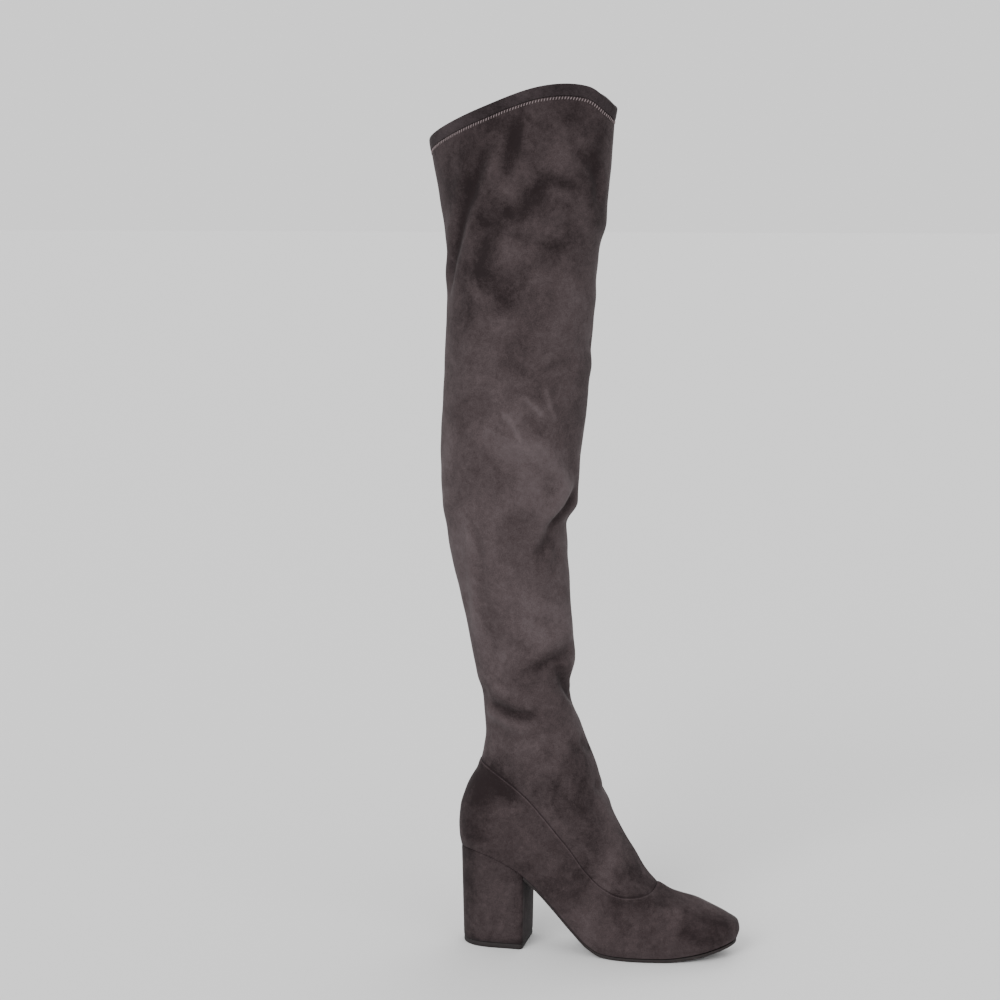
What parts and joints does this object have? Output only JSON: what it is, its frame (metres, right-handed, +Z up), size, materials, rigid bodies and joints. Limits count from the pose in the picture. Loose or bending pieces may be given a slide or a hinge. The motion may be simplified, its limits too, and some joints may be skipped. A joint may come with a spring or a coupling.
{
  "type": "thigh high boot",
  "caption": "Thigh high stretch boot in faux suede with an almond toe, a covered block heel and a short zip on the inner ankle.",
  "frame": {"origin": "centre of the heel's tread, on the floor", "axes": "+Z up the leg, +X towards the toe, +Y towards the inner side with the zip"},
  "size_m": [0.2676, 0.0979, 0.7294],
  "materials": {
    "suede": "napped faux suede",
    "heel_suede": "napped faux suede over a hard block",
    "insole_board": "smooth sock lining",
    "sole_leather": "matt black",
    "lift_rubber": "matt black",
    "zip_chain": "woven tape",
    "dark_nickel": "dark nickel plate"
  },
  "bodies": {
    "boot": {"upper": "suede", "shaft": "suede", "collar_band": "suede", "insole": "insole_board", "outsole": "sole_leather", "heel": "heel_suede", "top_lift": "lift_rubber", "zip_tape": "zip_chain", "zip_slider": "dark_nickel"},
    "pull": {"zip_pull": "dark_nickel"}
  },
  "joints": [
    {"name": "pull_hinge", "type": "hinge", "parent": "boot", "child": "pull", "pos_m": [0.03026, 0.03602, 0.22511], "axis": [0.9761, -0.1128, 0.1858], "range_deg": [0, 160]}
  ]
}
